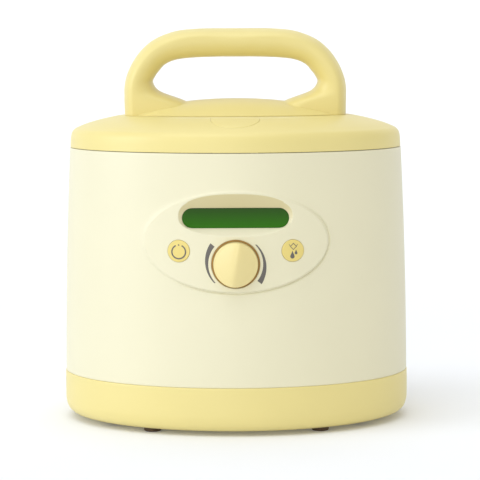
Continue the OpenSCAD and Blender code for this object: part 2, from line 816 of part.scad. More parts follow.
module clamp_ring(side) {
    top = seat_floor_z;
    color("#b4b8bc") translate([side * seat_x, seat_y, 0]) difference() {
        rotate_extrude() polygon([[port_r + 0.5, top - diaphragm_t - clamp_t],
            [clamp_r, top - diaphragm_t - clamp_t], [clamp_r, top], [26, top],
            [26, top - diaphragm_t], [port_r + 0.5, top - diaphragm_t]]);
        for (t = [0 : 60 : 300]) rotate(t) translate([clamp_screw_ring_r, 0, 0])
            cylinder(r = 0.9, h = 200);
    }
}

module clamp_ring_left() { clamp_ring(-1); }
module clamp_ring_right() { clamp_ring(1); }

module clamp_screws() {
    color("#b9bcc0") for (side = [-1, 1], t = [0 : 60 : 300])
        translate([side * seat_x, seat_y, seat_floor_z - diaphragm_t - clamp_t]) rotate(t)
            translate([clamp_screw_ring_r, 0, 0]) screw_up(0.8, 8, 1.3, 1);
}

// ---- Lid ----

module hinge_pin() {
    color("#c9ccd0") rod_x_bar(hinge_y, hinge_z, hinge_pin_r, -hinge_half - 0.5, hinge_half + 0.5);
}

module lid_cover() {
    color("#ecdf9a") difference() {
        union() {
            difference() {
                union() {
                    oval_loft(lid_profile);
                    for (side = [-1, 1]) hinge_knuckle_lid(side);
                }
                oval_loft(lid_inside);
            }
            intersection() {
                oval_loft(inset(lid_profile, 1));
                for (spot = liner_screw_spots) translate([spot.x, spot.y, liner_z + liner_t])
                    cylinder(r = 3.2, h = 20);
            }
        }
        translate([0, release_y, liner_z]) cylinder(r = release_r + gap, h = 20);
        for (spot = handle_screw_spots) translate([spot.x, spot.y, 150]) cylinder(r = 2.2, h = 30);
        for (spot = liner_screw_spots) translate([spot.x, spot.y, liner_z]) cylinder(r = 1, h = 9);
        rod_x_bar(hinge_y, hinge_z, hinge_pin_r + running, -40, 40);
        rod_x_bar(hinge_y, hinge_z, hinge_r + 0.4, -knuckle_half - gap, knuckle_half + gap);
    }
}

module hinge_knuckle_lid(side) {
    inner = knuckle_half + gap;
    low = min(side * inner, side * hinge_half);
    high = max(side * inner, side * hinge_half);
    rod_x_bar(hinge_y, hinge_z, hinge_r, low, high);
    box_at([low, 69.6, lid_seam_z + 2 * gap], [high, hinge_y, hinge_z + hinge_r]);
}

// Outline of an arch from its right foot over to its left: a large flatness levels its top, and
// a large squareness keeps its sides upright
function arch(half, height, flatness, squareness) = [for (t = [0 : 4 : 180])
    let(c = cos(t), s = sin(t))
    [sign(c) * half * pow(abs(c), 2 / flatness), height * pow(s, 2 / squareness)]];

module carrying_handle() {
    color("#ecdf9a") difference() {
        union() {
            along_y(-handle_d / 2, handle_d / 2) difference() {
                polygon(concat([[-handle_w / 2, plateau_z], [handle_w / 2, plateau_z]],
                    [for (p = arch(handle_w / 2, handle_top_z - spring_z, 4.35, 1.36))
                        [p.x, p.y + spring_z]]));
                polygon(concat([[-grip_half, grip_z], [-43.8, 181.7], [-26.5, 174.4],
                    [26.5, 174.4], [43.8, 181.7], [grip_half, grip_z]],
                    [for (p = arch(grip_half, grip_top_z - grip_z, 3.2, 3.2)) [p.x, p.y + grip_z]]));
            }
            oval_loft(dome_profile, dome_ratio);
        }
        for (spot = handle_screw_spots) translate([spot.x, spot.y, plateau_z - cut])
            cylinder(r = screw_r, h = 15);
    }
}

module handle_screws() {
    color("#b9bcc0") for (spot = handle_screw_spots)
        translate([spot.x, spot.y, plateau_z - wall]) screw_up(screw_r, 16);
}

module lid_liner() {
    color("#f1ecd8") difference() {
        union() {
            translate([0, 0, liner_z]) oval_plate(half_w - 7.2, liner_t);
            box_at([-5, spring_end_y, liner_z], [5, spring_end_y + 2, latch_z + latch_t + 1]);
        }
        box_at([-10, hook_y - 2.4, 150], [10, hook_y + 6, 156]);
        for (spot = liner_screw_spots) translate([spot.x, spot.y, 150]) cylinder(r = 1.2, h = 6);
    }
}

module liner_screws() {
    color("#b9bcc0") for (spot = liner_screw_spots) translate([spot.x, spot.y, liner_z])
        screw_up(1, 8, 2.2, 1);
}

module lid_gasket() {
    color("#5a5a58") difference() {
        translate([0, 0, gasket_z]) oval_plate(half_w - 6.9, liner_z - gasket_z);
        translate([0, 0, gasket_z - cut]) oval_plate(half_w - 9.5, 10);
        box_at([-12, -90, gasket_z - cut], [12, -60, 160]);
    }
}

module lid_release_button() {
    color("#eee3ac") {
        intersection() {
            oval_loft(concat(inset(lid_profile, -0.6 * release_rise),
                [[plateau_z + release_rise, half_w - 36]]));
            translate([0, release_y, release_base_z]) cylinder(r = release_r, h = 20);
        }
        translate([-4, 0, 0]) rotate([90, 0, 90]) linear_extrude(8) polygon([
            [wedge_front_y, wedge_z], [wedge_tip_y, wedge_z],
            [wedge_tip_y + wedge_h, wedge_z + wedge_h],
            [wedge_tip_y + wedge_h, release_base_z + cut], [wedge_front_y, release_base_z + cut]]);
    }
}

// Flat slide with a hook that reaches down to the catch on the housing, and a window whose
// rear edge is pushed back by the button's wedge
module latch_slide() {
    low = wedge_tip_y - wedge_z + 0.2;
    color("#c9ccd0") difference() {
        union() {
            box_at([-latch_half, hook_y, latch_z], [latch_half, latch_rear_y, latch_z + latch_t]);
            box_at([-latch_half, hook_y, hook_low_z], [latch_half, hook_y + 2.5, latch_z + cut]);
            box_at([-latch_half, hook_y - 2, hook_low_z], [latch_half, hook_y + 2.5, 145]);
        }
        translate([-4.5, 0, 0]) rotate([90, 0, 90]) linear_extrude(9) polygon([
            [wedge_front_y - latch_travel - 0.4, latch_z - cut], [low + latch_z - cut, latch_z - cut],
            [low + latch_z + 3 * cut, latch_z + 3 * cut],
            [wedge_front_y - latch_travel - 0.4, latch_z + 3 * cut]]);
    }
}

module latch_spring() {
    wire = 0.4;
    turns = 6;
    color("#aeb2b6") for (k = [0 : turns - 1])
        translate([0, latch_rear_y + 0.6 + k * 1.9, latch_z + latch_t / 2 + 0.4]) rotate([90, 0, 0])
            rotate_extrude($fn = 24) translate([1.8, 0]) circle(r = wire, $fn = 16);
}

housing_shell();
base_tray();
foot_front_left();
foot_front_right();
foot_rear_left();
foot_rear_right();
base_screws();
top_deck();
deck_screws();
display_window();
lcd_module();
control_board();
control_screws();
encoder_body();
key_switch_left();
key_switch_right();
key_boot_left();
key_boot_right();
main_board();
board_components();
ribbon_cable();
transformer();
battery_pack();
battery_bracket();
card_reader();
power_inlet();
inlet_pins();
pump_chassis();
pump_isolators();
chassis_screws();
guide_rods();
gear_shaft();
motor_body();
motor_screws();
diaphragm_left();
diaphragm_right();
clamp_ring_left();
clamp_ring_right();
clamp_screws();
hinge_pin();
lid_cover();
carrying_handle();
handle_screws();
lid_liner();
liner_screws();
lid_gasket();
lid_release_button();
latch_slide();
latch_spring();
vacuum_knob();
encoder_shaft();
power_button();
letdown_button();
program_card();
crosshead();
crosshead_bushings();
diaphragm_plates();
reduction_gear();
motor_shaft();
motor_pinion();
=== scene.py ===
"""Looks of an electric breast pump with a carrying handle on its hinged lid.

Shapes are worked out in millimetres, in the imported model's frame (+Z up, front towards -Y), and
turned into metres when a mesh is made."""

import json
import math

import bmesh
import bpy
import numpy as np
from mathutils import Matrix, Vector


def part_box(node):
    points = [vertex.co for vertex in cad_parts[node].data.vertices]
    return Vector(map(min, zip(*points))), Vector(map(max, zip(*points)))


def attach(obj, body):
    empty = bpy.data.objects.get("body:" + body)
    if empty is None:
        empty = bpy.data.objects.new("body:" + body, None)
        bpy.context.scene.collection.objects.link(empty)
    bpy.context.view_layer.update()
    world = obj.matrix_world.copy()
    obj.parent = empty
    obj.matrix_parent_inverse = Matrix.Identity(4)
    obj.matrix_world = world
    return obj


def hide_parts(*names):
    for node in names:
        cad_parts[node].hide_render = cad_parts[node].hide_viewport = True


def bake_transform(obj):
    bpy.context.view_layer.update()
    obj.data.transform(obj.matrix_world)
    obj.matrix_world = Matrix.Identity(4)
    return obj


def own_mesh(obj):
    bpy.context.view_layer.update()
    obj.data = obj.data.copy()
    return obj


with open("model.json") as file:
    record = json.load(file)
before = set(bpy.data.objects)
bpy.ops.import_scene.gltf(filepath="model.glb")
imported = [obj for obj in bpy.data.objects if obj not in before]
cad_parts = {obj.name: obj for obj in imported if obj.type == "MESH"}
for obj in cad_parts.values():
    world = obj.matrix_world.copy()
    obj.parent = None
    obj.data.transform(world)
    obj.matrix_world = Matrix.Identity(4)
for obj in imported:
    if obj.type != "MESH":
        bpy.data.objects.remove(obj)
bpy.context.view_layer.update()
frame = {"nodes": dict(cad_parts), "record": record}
nodes = frame["nodes"]

MM = 0.001


# ---- Dimensions, in millimetres ----


def span(node):
    """Lowest and highest corner of a CAD node."""
    return [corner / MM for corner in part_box(node)]


def middle(node):
    low, high = span(node)
    return (low + high) / 2


RATIO = 0.816  # depth of every oval ring as a share of its width
HALF_W = span("housing_shell")[1].x
BASE_Z, SEAM_Z = (corner.z for corner in span("base_tray"))
RIM_Z = 149.8
LID_Z = RIM_Z + 0.3
WALL, DISPLAY_WALL = 3.0, 4.5  # the second one is added behind the display
EASE = 0.5  # rounding of the housing's two rims

PANEL_Z, PANEL_A, PANEL_B = 103.5, 48.5, 26.25
PANEL_RAISE = 1.4
PANEL_EDGE, PANEL_FOOT = 0.6, 5.0  # fall-off of the panel's crisp edge and of its soft foot
GROOVE_DEPTH, GROOVE_OUT, GROOVE_WIDTH = 1.1, 0.9, 0.5
WINDOW = middle("display_window")
WINDOW_LOW, WINDOW_HIGH = span("display_window")
WINDOW_R = (WINDOW_HIGH.z - WINDOW_LOW.z) / 2
WINDOW_HALF = (WINDOW_HIGH.x - WINDOW_LOW.x) / 2 - WINDOW_R
RECESS_Z, RECESS_HALF, RECESS_RISE, RECESS_FALL, RECESS_CURVE = 117.0, 30.2, 11.9, 10.5, 2.36

KNOB = middle("vacuum_knob")
KNOB_R = (span("vacuum_knob")[1].x - span("vacuum_knob")[0].x) / 2
KNOB_SLOPE, KNOB_TURN = 0.55, math.radians(9)
BUTTON_R, BUTTON_RISE, BUTTON_CROWN = 5.8, 0.3, 0.1
KEY_SIDE, KEY_IN = 0.26, 0.966  # direction in which the keys move
BUTTONS = {"power": -29.9, "letdown": 30.0}
BUTTON_Z = middle("power_button").z

PLATEAU_Z = span("carrying_handle")[0].z
HANDLE_HALF = span("carrying_handle")[1].x
HANDLE_TOP = span("carrying_handle")[1].z
HANDLE_D = 30.0
RELEASE_Y = middle("lid_release_button").y
RELEASE_R = 13.0
HINGE = middle("hinge_pin")
HINGE_R, KNUCKLE_HALF = 4.2, 14
HOUSING_BORE, LID_BORE = 1.78, 1.85


# ---- Mesh tools ----


def smooth_line(points, count):
    """Points evenly spread along a smooth curve through the given ones (Catmull-Rom by chord length)."""
    p = np.array(points, float)
    p = np.vstack([2 * p[0] - p[1], p, 2 * p[-1] - p[-2]])
    knot = np.r_[0, np.cumsum(np.linalg.norm(np.diff(p, axis=0), axis=1) ** 0.5)]
    fine = []
    for k in range(1, len(p) - 2):
        t = np.linspace(knot[k], knot[k + 1], 24, endpoint=False)[:, None]

        def mix(a, b, i, j):
            return ((knot[j] - t) * a + (t - knot[i]) * b) / (knot[j] - knot[i])

        a1 = mix(p[k - 1], p[k], k - 1, k)
        a2 = mix(p[k], p[k + 1], k, k + 1)
        a3 = mix(p[k + 1], p[k + 2], k + 1, k + 2)
        fine.append(mix(mix(a1, a2, k - 1, k + 1), mix(a2, a3, k, k + 2), k, k + 1))
    fine = np.vstack(fine + [p[-2:-1]])
    along = np.r_[0, np.cumsum(np.linalg.norm(np.diff(fine, axis=0), axis=1))]
    want = np.linspace(0, along[-1], count)
    return np.stack([np.interp(want, along, fine[:, i]) for i in range(fine.shape[1])], 1)


def make(name, vertices, faces):
    """A mesh object from points in millimetres."""
    mesh = bpy.data.meshes.new(name)
    mesh.from_pydata((np.asarray(vertices) * MM).tolist(), [], faces)
    piece = bpy.data.objects.new(name, mesh)
    bpy.context.scene.collection.objects.link(piece)
    bm = bmesh.new()
    bm.from_mesh(mesh)
    bmesh.ops.recalc_face_normals(bm, faces=bm.faces)
    bm.to_mesh(mesh)
    bm.free()
    return piece


def loft(name, rings, cycle=False):
    """A closed solid through rings of the same number of points; cycle joins the last to the first."""
    rings = np.asarray(rings, float)
    count, around = rings.shape[:2]
    i = np.arange(around)
    j = (i + 1) % around
    faces = []
    for r in range(count if cycle else count - 1):
        a, b = r * around, ((r + 1) % count) * around
        faces += np.stack([a + i, a + j, b + j, b + i], 1).tolist()
    if not cycle:
        faces += [i[::-1].tolist(), ((count - 1) * around + i).tolist()]
    return make(name, rings.reshape(-1, 3), faces)


def oval(half, z, ratio=RATIO, angles=None):
    angles = ROUND if angles is None else angles
    half, z = np.broadcast_to(half, angles.shape), np.broadcast_to(z, angles.shape)
    return np.stack([half * np.cos(angles), half * ratio * np.sin(angles), z], 1)


ROUND = np.radians(np.arange(0, 360, 2))


def lathe(name, profile, centre=(0, 0), count=64):
    """A solid turned about a vertical axis, from a list of (radius, height)."""
    t = np.linspace(0, 2 * math.pi, count, endpoint=False)
    rings = [np.stack([centre[0] + r * np.cos(t), centre[1] + r * np.sin(t), np.full(count, z)], 1)
             for r, z in profile]
    return loft(name, rings)


def block(name, low, high):
    x, y, z = zip(low, high)
    ring = [(x[0], y[0]), (x[1], y[0]), (x[1], y[1]), (x[0], y[1])]
    return loft(name, [[(a, b, c) for a, b in ring] for c in z])


def carve(piece, cutters, operation="DIFFERENCE"):
    """Cuts, joins or crosses a piece with others, which are used up."""
    for cutter in cutters:
        modifier = piece.modifiers.new("cut", "BOOLEAN")
        modifier.object, modifier.operation, modifier.solver = cutter, operation, "MANIFOLD"
    graph = bpy.context.evaluated_depsgraph_get()
    done = bpy.data.meshes.new_from_object(piece.evaluated_get(graph), depsgraph=graph)
    piece.modifiers.clear()
    piece.data = done
    for cutter in cutters:
        bpy.data.objects.remove(cutter)
    return piece


def finish_piece(piece, body, material, replaces=(), sharp=38):
    """Gives a piece its shading, material and place in the frame."""
    piece.data.materials.clear()
    piece.data.materials.append(material)
    piece.data.shade_smooth()
    piece.data.set_sharp_from_angle(angle=math.radians(sharp))
    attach(piece, body)
    if replaces:
        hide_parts(*replaces)
    return piece


# ---- Surfaces that other pieces follow ----


def housing_half(z):
    """Half width of the housing at height z: nearly upright below, drawn in towards the lid."""
    t = (z - SEAM_Z) / (RIM_Z - SEAM_Z)
    return HALF_W - t * (0.66 + 2.74 * t)


def oval_distance(x, z, a, b):
    """Roughly the distance inwards from an oval's edge."""
    rho = np.sqrt((x / a) ** 2 + (z / b) ** 2) + 1e-6
    slope = np.sqrt((x / a**2) ** 2 + (z / b**2) ** 2) / rho + 1e-6
    return (1 - rho) / slope


def smooth_step(x):
    x = np.clip(x, 0, 1)
    return x * x * (3 - 2 * x)


def front_out(x, z):
    """How far the raised panel stands out of the housing, with a groove below and right of it."""
    d = oval_distance(x, z - PANEL_Z, PANEL_A, PANEL_B)
    d = np.minimum(d, 0)
    where = smooth_step(0.4 + 0.7 * (x / PANEL_A - (z - PANEL_Z) / PANEL_B))
    groove = where * np.exp(-((d + GROOVE_OUT) / GROOVE_WIDTH) ** 2)
    foot = 0.75 * np.exp(d / PANEL_EDGE) + 0.25 * np.exp(d / PANEL_FOOT)
    return PANEL_RAISE * foot - GROOVE_DEPTH * groove


def front_y(x, z, out=None):
    half = housing_half(z) + (front_out(x, z) if out is None else out)
    return -RATIO * np.sqrt(np.maximum(half**2 - x**2, 0))


LID_OUTSIDE = smooth_line([(91.4, LID_Z), (91.3, 152.6), (91.1, 155.5), (90.5, 158.0), (89.0, 159.9),
                           (86, 161.4), (82.4, 162.8), (76, 164.7), (69.5, 166.2), (64, PLATEAU_Z),
                           (58, PLATEAU_Z + 0.1)], 60)


def lid_z(x, y):
    """Height of the lid's upper surface."""
    rho = np.sqrt(x**2 + (y / RATIO) ** 2)
    return np.interp(rho, LID_OUTSIDE[::-1, 0], LID_OUTSIDE[::-1, 1])


def on_front(u, v, depth):
    return np.stack([u, front_y(u, v) + depth, v], -1)


def on_key(x):
    """Like on_front, but goes in square to the panel at the button that sits at x."""
    lean = -math.copysign(KEY_SIDE, x)

    def place(u, v, depth):
        return np.stack([u + lean * depth, front_y(u, v) + KEY_IN * depth, v], -1)
    return place


def on_lid(u, v, depth):
    return np.stack([u, v, lid_z(u, v) - depth], -1)


def stadium(half, count=96):
    """Centre line and outward normals of a shape with straight sides of length 2 half and round ends."""
    quarter = count // 4
    t = np.linspace(-math.pi / 2, math.pi / 2, count // 2 - quarter)
    line = np.linspace(-half, half, quarter + 2)[1:-1]
    ends = np.stack([np.cos(t), np.sin(t)], 1)
    centre = [np.tile([half, 0], (len(t), 1)), np.stack([line[::-1], line * 0], 1),
              np.tile([-half, 0], (len(t), 1)), np.stack([line, line * 0], 1)]
    normal = [ends, np.tile([0, 1], (quarter, 1)), -ends, np.tile([0, -1], (quarter, 1))]
    if half == 0:
        t = np.linspace(0, 2 * math.pi, count, endpoint=False)
        return np.zeros((count, 2)), np.stack([np.cos(t), np.sin(t)], 1)
    return np.vstack(centre), np.vstack(normal)


def pocket(place, centre, half, radius, depth, lip=0.35):
    """A cutter whose mouth has a rounded lip that follows the surface."""
    line, normal = stadium(half)
    steps = [(lip + 0.8, -8), (lip + 0.8, -0.8)]
    steps += [(lip * (1 - math.sin(t)), lip * (1 - math.cos(t)))
              for t in np.linspace(0, math.pi / 2, 5)]
    steps += [(0, depth)]
    rings = []
    for grow, down in steps:
        p = line + (radius + grow) * normal + centre
        rings.append(place(p[:, 0], p[:, 1], down))
    return loft("cutter", rings)


def plug(name, place, centre, radius, rise, depth, edge=0.5, crown=0.0, count=96):
    """A round cap that follows the surface, with a rounded edge, from its face down to depth."""
    line, normal = stadium(0, count)
    steps = [(0.02 * radius, -rise - crown)]
    steps += [(s * (radius - edge), -rise - crown * (1 - s * s)) for s in (0.2, 0.4, 0.6, 0.8, 1.0)]
    steps += [(radius - edge + edge * math.sin(t), -rise + edge * (1 - math.cos(t)))
              for t in np.linspace(0.3, math.pi / 2, 5)]
    steps += [(radius, depth)]
    rings = []
    for r, down in steps:
        p = r * normal + centre
        rings.append(place(p[:, 0], p[:, 1], down))
    return loft(name, rings)


def ribbon(name, place, edges, lift=0.04, sink=0.12, across=4):
    """A thin printed mark on a surface, from pairs of opposite edge points."""
    rings = []
    for a, b in edges:
        s = np.linspace(0, 1, across)[:, None]
        top = np.array(a) * (1 - s) + np.array(b) * s
        rings.append(np.vstack([place(top[:, 0], top[:, 1], -lift),
                                place(top[::-1, 0], top[::-1, 1], sink)]))
    return loft(name, rings)


# ---- Materials ----


def material(name, colour, roughness, metallic=0.0, mottle=0.03, mottle_scale=60, grain=0.0,
             grain_scale=2600, spread=0.05, coat=0.0, edge=0.0003, stretch=(1, 1, 1)):
    """A moulded or machined surface: slow colour variation, uneven gloss, fine grain and eased edges."""
    m = bpy.data.materials.new(name)
    m.use_nodes = True
    tree = m.node_tree
    add, link = tree.nodes.new, tree.links.new
    shader = tree.nodes["Principled BSDF"]
    shader.inputs["Metallic"].default_value = metallic
    shader.inputs["Coat Weight"].default_value = coat
    shader.inputs["Coat Roughness"].default_value = 0.12
    place = add("ShaderNodeTexCoord")
    stretched = add("ShaderNodeMapping")
    stretched.inputs["Scale"].default_value = stretch
    link(place.outputs["Object"], stretched.inputs["Vector"])

    slow = add("ShaderNodeTexNoise")
    slow.inputs["Scale"].default_value = mottle_scale
    slow.inputs["Detail"].default_value = 4
    link(stretched.outputs["Vector"], slow.inputs["Vector"])
    ramp = add("ShaderNodeValToRGB")
    ramp.color_ramp.elements[0].position = 0.3
    ramp.color_ramp.elements[1].position = 0.7
    ramp.color_ramp.elements[0].color = [c * (1 - mottle) for c in colour] + [1]
    ramp.color_ramp.elements[1].color = [min(1, c * (1 + mottle / 2)) for c in colour] + [1]
    link(slow.outputs["Fac"], ramp.inputs["Fac"])
    link(ramp.outputs["Color"], shader.inputs["Base Color"])

    fine = add("ShaderNodeTexNoise")
    fine.inputs["Scale"].default_value = grain_scale
    fine.inputs["Detail"].default_value = 3
    link(stretched.outputs["Vector"], fine.inputs["Vector"])
    gloss = add("ShaderNodeMapRange")
    gloss.inputs["To Min"].default_value = roughness - spread
    gloss.inputs["To Max"].default_value = roughness + spread
    blend = add("ShaderNodeMix")
    blend.inputs[0].default_value = 0.4
    link(slow.outputs["Fac"], blend.inputs[2])
    link(fine.outputs["Fac"], blend.inputs[3])
    link(blend.outputs[0], gloss.inputs["Value"])
    link(gloss.outputs["Result"], shader.inputs["Roughness"])

    bump = add("ShaderNodeBump")
    bump.inputs["Strength"].default_value = grain
    bump.inputs["Distance"].default_value = 0.00005
    link(fine.outputs["Fac"], bump.inputs["Height"])
    if edge:
        eased = add("ShaderNodeBevel")
        eased.samples = 3
        eased.inputs["Radius"].default_value = edge
        link(eased.outputs["Normal"], bump.inputs["Normal"])
    link(bump.outputs["Normal"], shader.inputs["Normal"])
    return m


def paint_shade_by_height(m, low, high, below, above):
    """Paints shade into a material's colour, which changes from one height to another."""
    tree = m.node_tree
    add, link = tree.nodes.new, tree.links.new
    place, split, ramp = add("ShaderNodeTexCoord"), add("ShaderNodeSeparateXYZ"), add("ShaderNodeValToRGB")
    link(place.outputs["Object"], split.inputs["Vector"])
    height = add("ShaderNodeMapRange")
    height.inputs["From Min"].default_value = low * MM
    height.inputs["From Max"].default_value = high * MM
    link(split.outputs["Z"], height.inputs["Value"])
    link(height.outputs["Result"], ramp.inputs["Fac"])
    ramp.color_ramp.elements[0].color = (*below, 1)
    ramp.color_ramp.elements[1].color = (*above, 1)
    link(ramp.outputs["Color"], tree.nodes["Principled BSDF"].inputs["Base Color"])


CREAM = material("cream_plastic", (0.752, 0.717, 0.52), 0.42, mottle=0.012, mottle_scale=25, grain=0.12)
YELLOW = material("yellow_plastic", (0.756, 0.65, 0.265), 0.40, mottle=0.012, mottle_scale=25, grain=0.12)
BUTTON_YELLOW = material("button_plastic", (0.75, 0.61, 0.195), 0.36, mottle=0.01, mottle_scale=40,
                         grain=0.05)
# painted shade: the recess walls turn khaki towards the top, where the overhang shades them
RECESS_PAINTED_SHADE = material("recess_painted_shade", (0.84, 0.73, 0.37), 0.5, mottle=0.012, mottle_scale=25,
                        grain=0.12)
paint_shade_by_height(RECESS_PAINTED_SHADE, WINDOW.z - 6, WINDOW.z + 5, (0.75, 0.71, 0.52), (0.65, 0.575, 0.325))
KNOB_YELLOW = material("knob_plastic", (0.77, 0.655, 0.30), 0.32, mottle=0.01, mottle_scale=40, grain=0.05)
INK = material("grey_ink", (0.13, 0.12, 0.11), 0.55, mottle=0.08, mottle_scale=400, edge=0)
GREEN_GLASS = material("display_green", (0.03, 0.12, 0.02), 0.12, mottle=0, spread=0.02, edge=0)
GREEN_GLASS.node_tree.nodes["Principled BSDF"].inputs["Specular IOR Level"].default_value = 0.12
# painted shade: the window is darker towards its top, where the recess's top wall shades it
paint_shade_by_height(GREEN_GLASS, WINDOW.z - WINDOW_R, WINDOW.z + WINDOW_R,
                (0.029, 0.152, 0.005), (0.025, 0.072, 0.012))
MATERIALS = {
    "cream_plastic": CREAM,
    "yellow_plastic": YELLOW,
    "foot_rubber": material("foot_rubber", (0.085, 0.05, 0.028), 0.7, mottle=0.2, mottle_scale=200,
                            grain=0.4, grain_scale=1500),
    "white_plastic": material("white_plastic", (0.84, 0.82, 0.74), 0.5, mottle=0.015, grain=0.3,
                              grain_scale=1800),
    "display_green": GREEN_GLASS,
    "grey_plastic": material("grey_plastic", (0.34, 0.34, 0.33), 0.55, mottle=0.05, grain=0.3),
    "circuit_board": material("circuit_board", (0.02, 0.16, 0.06), 0.35, mottle=0.35,
                              mottle_scale=500, coat=0.4, edge=0),
    "black_plastic": material("black_plastic", (0.018, 0.018, 0.02), 0.45, mottle=0.2, grain=0.4),
    "steel": material("steel", (0.62, 0.62, 0.63), 0.3, metallic=1, mottle=0.08, grain=0.1,
                      grain_scale=4000, stretch=(1, 1, 0.1)),
    "silicone": material("silicone", (0.66, 0.64, 0.58), 0.55, mottle=0.04, grain=0.1),
    "aluminium": material("aluminium", (0.70, 0.70, 0.71), 0.42, metallic=1, mottle=0.06,
                          grain=0.25, grain_scale=3000),
    "brass": material("brass", (0.72, 0.53, 0.25), 0.3, metallic=1, mottle=0.08, grain=0.1),
    "transformer_iron": material("transformer_iron", (0.13, 0.13, 0.14), 0.5, metallic=0.6,
                                 mottle=0.2, grain=0.3, stretch=(8, 0.2, 0.2)),
    "battery": material("battery", (0.05, 0.11, 0.24), 0.35, mottle=0.08, grain=0.1),
    "ribbon": material("ribbon", (0.52, 0.50, 0.45), 0.5, mottle=0.25, mottle_scale=900,
                       stretch=(1, 0.02, 0.02)),
}
for entry in frame["record"]["subparts"]:
    cad = nodes[entry["node"]]
    cad.data.materials.clear()
    cad.data.materials.append(MATERIALS[entry["material_slot"]])


# ---- Housing ----


def fine_steps(low, high, step):
    return np.linspace(low, high, int(round((high - low) / step)) + 1)


def housing():
    """The tapered oval body with its raised panel, display recess, knob seat and rear openings."""
    grid = 0.42
    reach = PANEL_A + 4
    front = np.arccos(fine_steps(-reach, reach, grid) / housing_half(PANEL_Z)) + math.pi
    front = np.sort(front)
    rest = np.linspace(front[-1], front[0] + 2 * math.pi, 130)[1:-1]
    angles = np.r_[front, rest]
    low, high = PANEL_Z - PANEL_B - 4, PANEL_Z + PANEL_B + 4
    heights = np.r_[np.linspace(SEAM_Z + 1.5, low, 22)[:-1], fine_steps(low, high, grid),
                    np.linspace(high, RIM_Z - 1.5, 9)[1:]]
    ease = [(EASE * (1 - math.sin(t)), EASE * (1 - math.cos(t))) for t in np.linspace(0, math.pi / 2, 5)]
    rings = [oval(housing_half(SEAM_Z) - inward, SEAM_Z + up, angles=angles) for inward, up in ease]
    for z in heights:
        ring = oval(housing_half(z), z, angles=angles)
        facing = ring[:, 1] < 0
        ring[facing, 1] = front_y(ring[facing, 0], z)
        rings.append(ring)
    for down in (EASE, 0.3, 0.15, 0.05, 0.0):
        inward = EASE - EASE * math.sqrt(max(0, 1 - (1 - down / EASE) ** 2))
        rings.append(oval(housing_half(RIM_Z) - inward, RIM_Z - down, angles=angles))
    # inside of the wall, thicker behind the display
    for z in [RIM_Z, RIM_Z - 0.5, 134, 130, 126, 118, 108, 104, 98, 60, SEAM_Z + 0.5, SEAM_Z]:
        thick = WALL if z not in (130, 126, 118, 108, 104) else WALL + DISPLAY_WALL * smooth_step(
            (40 - np.abs(housing_half(z) * np.cos(angles))) / 6) * (np.sin(angles) < 0)
        rings.append(oval(housing_half(z) - thick + (0.4 if z in (RIM_Z, SEAM_Z) else 0), z, angles=angles))
    body = loft("housing", rings, cycle=True)

    floor_y = front_y(0.0, KNOB.z) + 1.5
    seat = pocket(on_front, (0, KNOB.z), 0, KNOB_R + 1.1, 0.6, lip=0.3)
    for v in seat.data.vertices[-96:]:
        v.co.y = floor_y * MM
    cutters = [seat, cylinder_y("cutter", 0, KNOB.z, 3.6, -90, -60), display_recess()]
    cutters += [pocket(on_key(x), (x, BUTTON_Z), 0, BUTTON_R + 0.1, 9, lip=0.12)
                for x in BUTTONS.values()]
    slot_low, slot_high = span("program_card")
    cutters.append(block("cutter", (slot_low.x - 0.4, 60, slot_low.z - 0.4),
                         (slot_high.x + 0.4, 90, slot_high.z + 0.4)))
    well = middle("power_inlet").z
    cutters.append(block("cutter", (-12, 60, well - 7), (12, 90, well + 7)))
    carve(body, cutters)

    knuckle = [(72.0, 139), (74.6, 139.4), (HINGE.y + HINGE_R, HINGE.z - 4),
               (HINGE.y + HINGE_R, HINGE.z), (HINGE.y - 2, HINGE.z + 1), (74, RIM_Z - 0.3),
               (72.0, RIM_Z - 0.3)]
    web = loft("web", [[(x, y, z) for y, z in knuckle] for x in (-KNUCKLE_HALF, KNUCKLE_HALF)])
    barrel = cylinder_x("barrel", HINGE.y, HINGE.z, HINGE_R, -KNUCKLE_HALF, KNUCKLE_HALF)
    carve(web, [barrel], "UNION")
    carve(web, [cylinder_x("bore", HINGE.y, HINGE.z, HOUSING_BORE, -15, 15)])
    carve(body, [web], "UNION")
    finish_piece(body, "housing", CREAM, ["housing_shell"])
    # the recess wall faces near and above the window get the second material, which carries painted shade
    body.data.materials.append(RECESS_PAINTED_SHADE)
    for face in body.data.polygons:
        x, y, z = face.center / MM
        in_painted_shade = front_y(x, z) + 0.2 < y < WINDOW_LOW.y + 0.3
        face.material_index = int(in_painted_shade and abs(x) < RECESS_HALF + 0.5 and z > WINDOW.z - 10)


